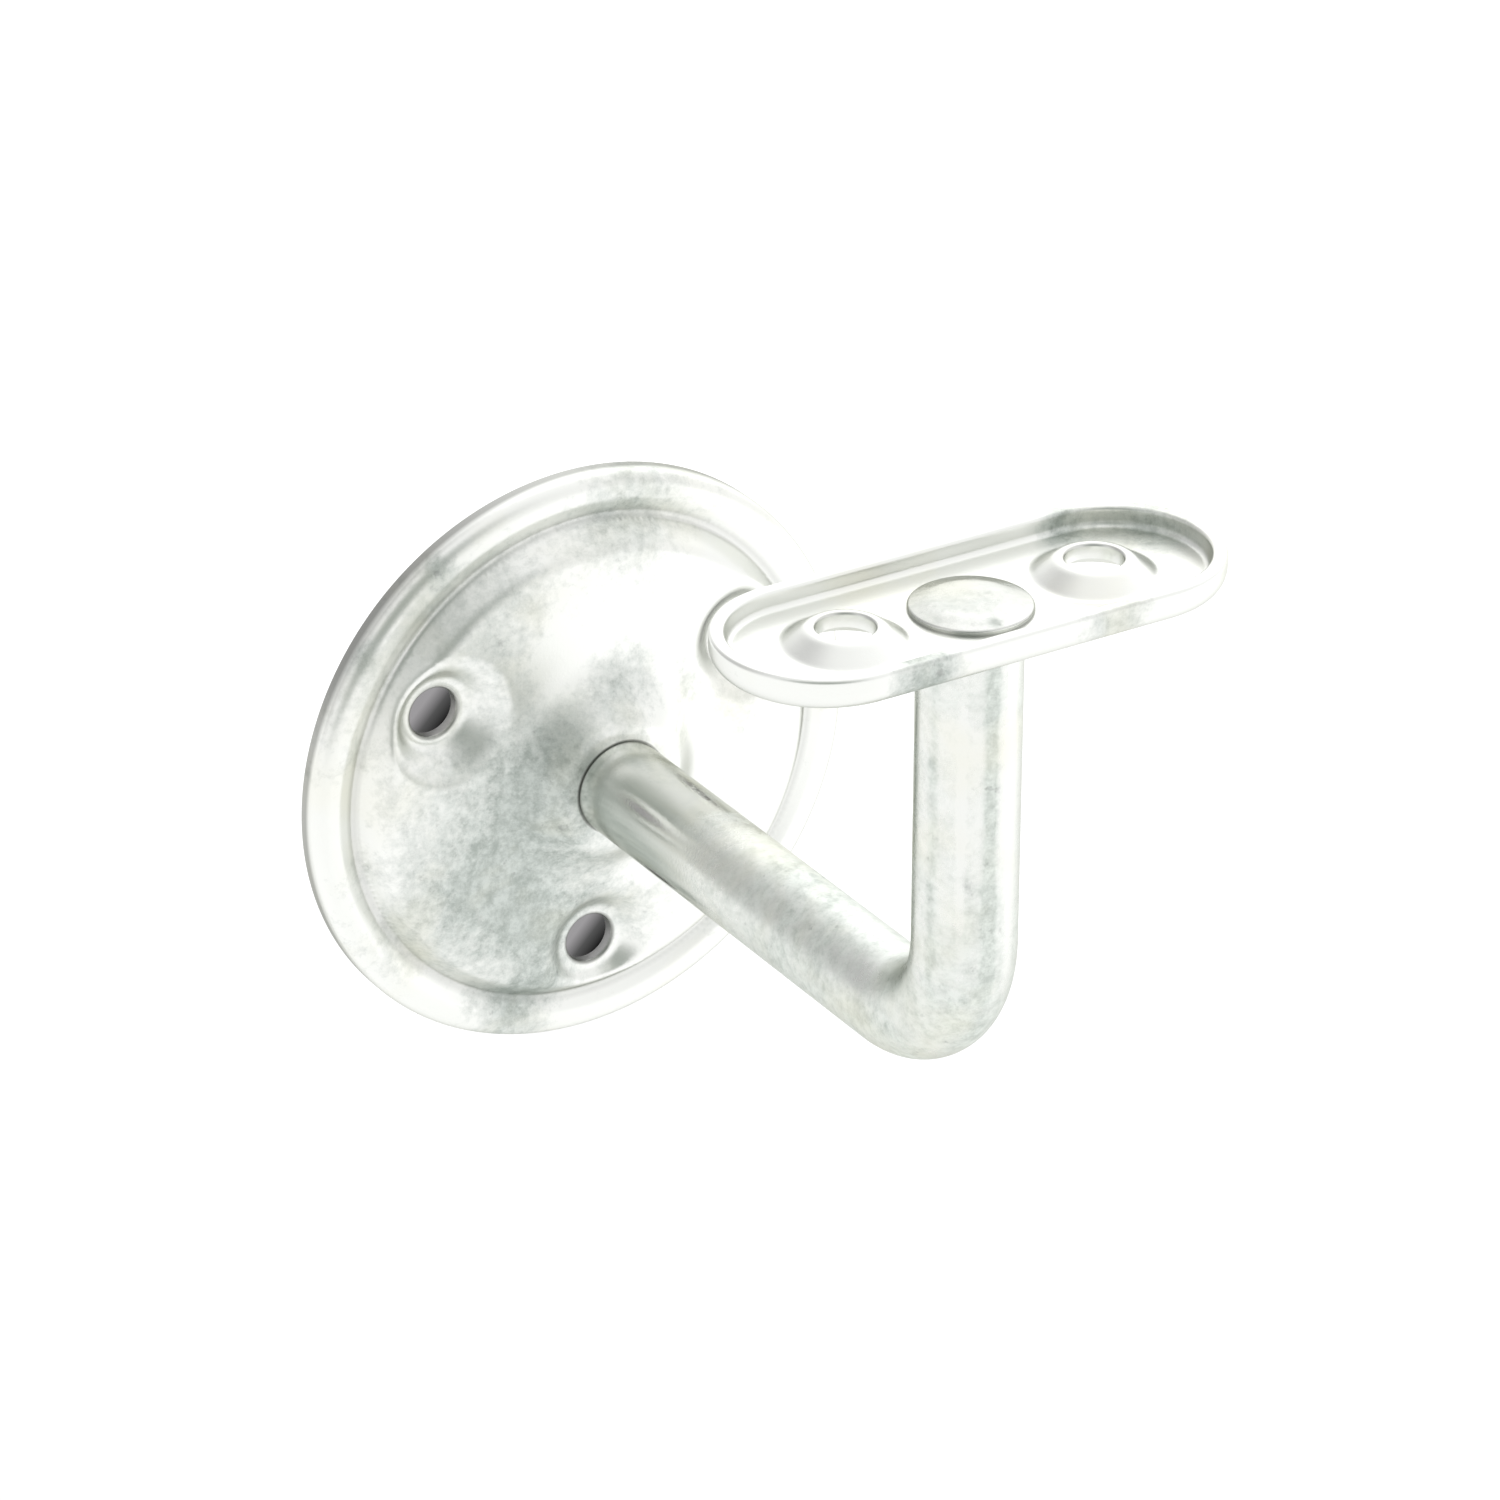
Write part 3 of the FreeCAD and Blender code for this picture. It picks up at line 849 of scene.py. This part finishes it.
# ---- studio; the camera and the floor are in metres and degrees ----

CAMERA_AZIMUTH = -32.158
CAMERA_ELEVATION = 27.391
CAMERA_ROLL = 0.186
CAMERA_DISTANCE = 0.7929
CAMERA_TARGET = Vector((-0.00257, -0.045, 0.0203))
SENSOR = 36.0                              # millimetres, as the lens is
LENS = 164.7096

FLOOR_HALF = 3.0
FLOOR_GAP = 0.0002                         # the floor lies this far under the bracket
FLOOR_LIGHT_SIDE = (0.85, 0.53, 0)
FLOOR_GLOW = (-0.12, 0.2, 0.78, 1.15)      # two places towards that side, and the painted glow at each

CARD_R = 6.5                               # glowing cards of painted shade in the hollow, behind the screw holes: millimetres
CARD_COUNT = 48
CARD_SHIFT = np.array([1.7, -1.7])         # from a hole's centre, to the right and down
CARD_RISE = 0.3
# the painted light on the cards comes from this side, the upper left
CARD_LIGHT_SIDE = (-0.7, 0, 0.7)
CARD_MIDDLE = 0.5                          # the shade's place at the middle of a card
CARD_SHADES = ((0.30, 0.008), (0.46, (0.09, 0.09, 0.09)), (0.62, (0.34, 0.33, 0.34)))

# parts of the studio's light: the side it comes from, and the shades from square to it to facing it
DARK_SIDE = ((-0.48, 0.74, 0.47), (0.0, 1.0), (0.6, 0.95), (0.95, 0.55))
GREY_SIDE = ((-0.47, -0.75, 0.46), (0.0, 1.0), (0.72, 1.0), (0.97, (0.35, 0.38, 0.35)))
BRIGHT_SIDE = ((0.47, 0.75, 0.46), (0.0, 0.0), (0.6, 0.1), (0.95, 1.0))
LIGHT_STRENGTH = 0.98
BRIGHT_SIDE_EXTRA = 0.75


def place_camera():
    """The camera, looking at its target from its azimuth and elevation, with a slight roll."""
    azimuth, elevation, roll = (math.radians(v) for v in (CAMERA_AZIMUTH, CAMERA_ELEVATION, CAMERA_ROLL))
    back = Vector((math.sin(azimuth) * math.cos(elevation),
                   -math.cos(azimuth) * math.cos(elevation), math.sin(elevation)))
    level_right = Vector((math.cos(azimuth), math.sin(azimuth), 0))
    level_up = back.cross(level_right)
    right = level_right * math.cos(roll) + level_up * math.sin(roll)
    up = level_up * math.cos(roll) - level_right * math.sin(roll)
    data = bpy.data.cameras.new("camera")
    data.lens = LENS
    data.sensor_width = SENSOR
    data.clip_start = 0.01
    data.clip_end = 50
    camera = bpy.data.objects.new("camera", data)
    place = Matrix((right, up, back)).transposed().to_4x4()
    place.translation = CAMERA_TARGET + back * CAMERA_DISTANCE
    camera.matrix_world = place
    bpy.context.scene.collection.objects.link(camera)
    bpy.context.scene.camera = camera


def add_stage(name, verts, material):
    """A flat face of the stage, which isn't part of the bracket."""
    mesh = bpy.data.meshes.new(name)
    mesh.from_pydata([tuple(v) for v in verts], [], [list(range(len(verts)))])
    mesh.materials.append(material)
    obj = bpy.data.objects.new(name, mesh)
    bpy.context.scene.collection.objects.link(obj)


def glowing_floor():
    """White glowing floor with painted light: brighter towards the back and the right, the side the studio
    light comes from.
    """
    material, n, surface = new_material("floor_white")
    bsdf = n.add("ShaderNodeBsdfPrincipled")
    n.link(bsdf.outputs["BSDF"], surface)
    bsdf.inputs["Base Color"].default_value = (0.3, 0.3, 0.3, 1)
    bsdf.inputs["Roughness"].default_value = 0.9
    bsdf.inputs["Specular IOR Level"].default_value = 0.0
    bsdf.inputs["Emission Color"].default_value = (1, 1, 1, 1)
    # painted light: the floor's glow grows towards the light side
    across = n.vector("DOT_PRODUCT", n.add("ShaderNodeTexCoord").outputs["Object"], FLOOR_LIGHT_SIDE)
    n.link(n.fade(across, *FLOOR_GLOW), bsdf.inputs["Emission Strength"])
    return material


def add_floor():
    """The floor, a square just under the bracket's lowest point."""
    size = FLOOR_HALF
    z = cad_bounds[0][2] - FLOOR_GAP
    add_stage("floor", [(-size, -size, z), (size, -size, z), (size, size, z), (-size, size, z)],
              glowing_floor())


def hollow_shade():
    """Painted shade for the rose's hollow: cards that glow grey to black in place of the shaded wall, seen
    only from in front, through the screw holes.
    """
    material, n, surface = new_material("hollow_shade")
    glow = n.add("ShaderNodeEmission")
    across = n.vector("DOT_PRODUCT", n.add("ShaderNodeTexCoord").outputs["Generated"], CARD_LIGHT_SIDE)
    n.link(n.ramp(n.math("ADD", across, CARD_MIDDLE), *CARD_SHADES), glow.inputs["Color"])
    clear = n.add("ShaderNodeBsdfTransparent")
    choose = n.add("ShaderNodeMixShader")
    n.link(n.add("ShaderNodeNewGeometry").outputs["Backfacing"], choose.inputs[0])
    n.link(glow.outputs[0], choose.inputs[1])
    n.link(clear.outputs[0], choose.inputs[2])
    n.link(choose.outputs[0], surface)
    return material


def add_hollow_cards():
    """A round card of painted shade behind each screw hole, just off the wall."""
    material = hollow_shade()
    for i, place in enumerate(SCREW_PLACES):
        card = ring(CARD_R, CARD_COUNT, place + CARD_SHIFT)
        add_stage("hollow_card_%d" % i, [(x * MM, -CARD_RISE * MM, z * MM) for x, z in card], material)


def light_studio():
    """White light all round: darker behind on the left, grey in front on the left, bright behind right."""
    world = bpy.data.worlds.new("studio")
    bpy.context.scene.world = world
    world.use_nodes = True
    world.node_tree.nodes.clear()
    n = Nodes(world.node_tree)
    background = n.add("ShaderNodeBackground")
    n.link(background.outputs[0], n.add("ShaderNodeOutputWorld").inputs["Surface"])
    direction = n.add("ShaderNodeTexCoord").outputs["Generated"]

    def light_from(side, *stops):
        return n.ramp(n.vector("DOT_PRODUCT", direction, Vector(side).normalized()), *stops)
    n.link(n.product(light_from(*DARK_SIDE), light_from(*GREY_SIDE)), background.inputs["Color"])
    strength = n.math("MULTIPLY_ADD", light_from(*BRIGHT_SIDE), BRIGHT_SIDE_EXTRA, LIGHT_STRENGTH)
    n.link(strength, background.inputs["Strength"])
    bpy.context.scene.view_settings.view_transform = "Standard"
    bpy.context.scene.view_settings.look = "None"


# ---- where the plating is dull, and on the sheet also painted shade and light: soft round areas (centre, radius, amount), below 0 brighter ----

# on the sheet some areas are painted shade, as at the rose's lower rim and round the arm's foot, and some
# below 0 are painted light, as on the rim's left
SHEET_DULL_AND_PAINTED_SHADE_AREAS = [
    ((-9, -8, -20), 24, 0.8), ((-17, -7, -6), 22, 0.8), ((-10, -8, 5), 15, 0.7),
    ((-15, -7, 23), 14, 0.4), ((2, -8, 12), 9, 0.65), ((-30, -4, 19), 7, 0.2),
    ((-22, -4, 28), 9, 0.1), ((6, -4, 32), 12, 0.6), ((-11, -4, -30), 9, 0.7),
    ((-36, -3, 0), 10, -0.4), ((-25, -3, -27), 10, -0.3), ((-14, -99, 55), 9, 1.2),
    ((10, -99, 55), 9, 0.7), ((0, -12, 0), 9, 0.7), ((0, -88, 54), 45, -0.3),
    ((-31, -4, 22), 4, 0.8), ((-20, -4, 31), 4, 0.8), ((12, -9, 10), 6, 0.3),
    ((19, -76, 56), 6, 1.3), ((28, -80, 55), 9, 0.9),
]
BAR_DULL_AREAS = [((0, -60, 0), 34, 0.7), ((0, -92, 8), 30, 0.6), ((0, -86, 44), 24, 0.35)]
LEG_STREAKS = [((-0.8, -91.9, 1), 1.5, 1.1), ((-5.8, -87.7, 1), 1.3, 0.5),
               ((-3.9, -90.6, 1), 0.9, -0.5), ((2.0, -91.7, 1), 1.4, -0.7)]

# ---- darker rings, painted shade with grime in the joints: circles (axis, centre, radius, reach, amount) ----

# painted shade at the rim's foot and in the groove
ROSE_EDGE = (1, (0, -0.6, 0), ROSE_R, 1.2, 0.55)
GROOVE = (1, (0, -2.6, 0), ROSE_R - 5.4, 1.1, 0.22)
# darker over the rail head's top
RAIL_HEAD_TOP = (2, (0, -LEG_OUT, arm_high[2]), RAIL_HEAD_R / 2, 7.0, 0.25)
# painted shade and grime where the arm meets the rose and the saddle
ARM_SEAM = (1, (0, -SEAT_RISE, 0), BAR_R, 0.28, 0.6)
RAIL_HEAD_SEAM = (2, (0, -LEG_OUT, FLOOR_Z), RAIL_HEAD_R, 0.3, 0.25)
# painted shade round the screw holes
WALL_HOLE_SEAMS = [(1, (x, -LAND_RISE, z), SCREW_R, 0.5, 0.6) for x, z in SCREW_PLACES]
RAIL_HOLE_SEAMS = [(2, (x, -LEG_OUT, FLOOR_Z + RAISED_RISE), RAIL_SCREW_R, 0.4, 0.3)
                   for x, _ in RAIL_SCREW_PLACES]

# ---- assembly ----

zinc_sheet = zinc("zinc_plated_sheet", bright=(0.93, 0.94, 0.91), dull=(0.43, 0.47, 0.44),
                  tint=(0.90, 0.88, 0.74), gloss=0.3, rough=0.5, base_cover=-0.05,
                  areas=SHEET_DULL_AND_PAINTED_SHADE_AREAS,
                  seams=[ROSE_EDGE, GROOVE, ARM_SEAM, RAIL_HEAD_SEAM, *WALL_HOLE_SEAMS, *RAIL_HOLE_SEAMS])
zinc_bar = zinc("zinc_plated_bar", bright=(0.88, 0.89, 0.86), dull=(0.62, 0.66, 0.62),
                tint=(0.86, 0.84, 0.68), gloss=0.14, rough=0.58, base_cover=0.0,
                areas=BAR_DULL_AREAS, seams=[ARM_SEAM, RAIL_HEAD_SEAM, RAIL_HEAD_TOP],
                streaks=LEG_STREAKS)

rose = make_rose(zinc_sheet)
arm = make_arm(zinc_bar)
saddle = make_saddle(zinc_sheet)
for piece, node, slot in ((rose, "wall_rose", "zinc_sheet"), (arm, "arm", "zinc_bar"),
                          (saddle, "saddle", "zinc_sheet")):
    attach(piece, "root")
    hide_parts(node)

place_camera()
add_floor()
add_hollow_cards()
light_studio()
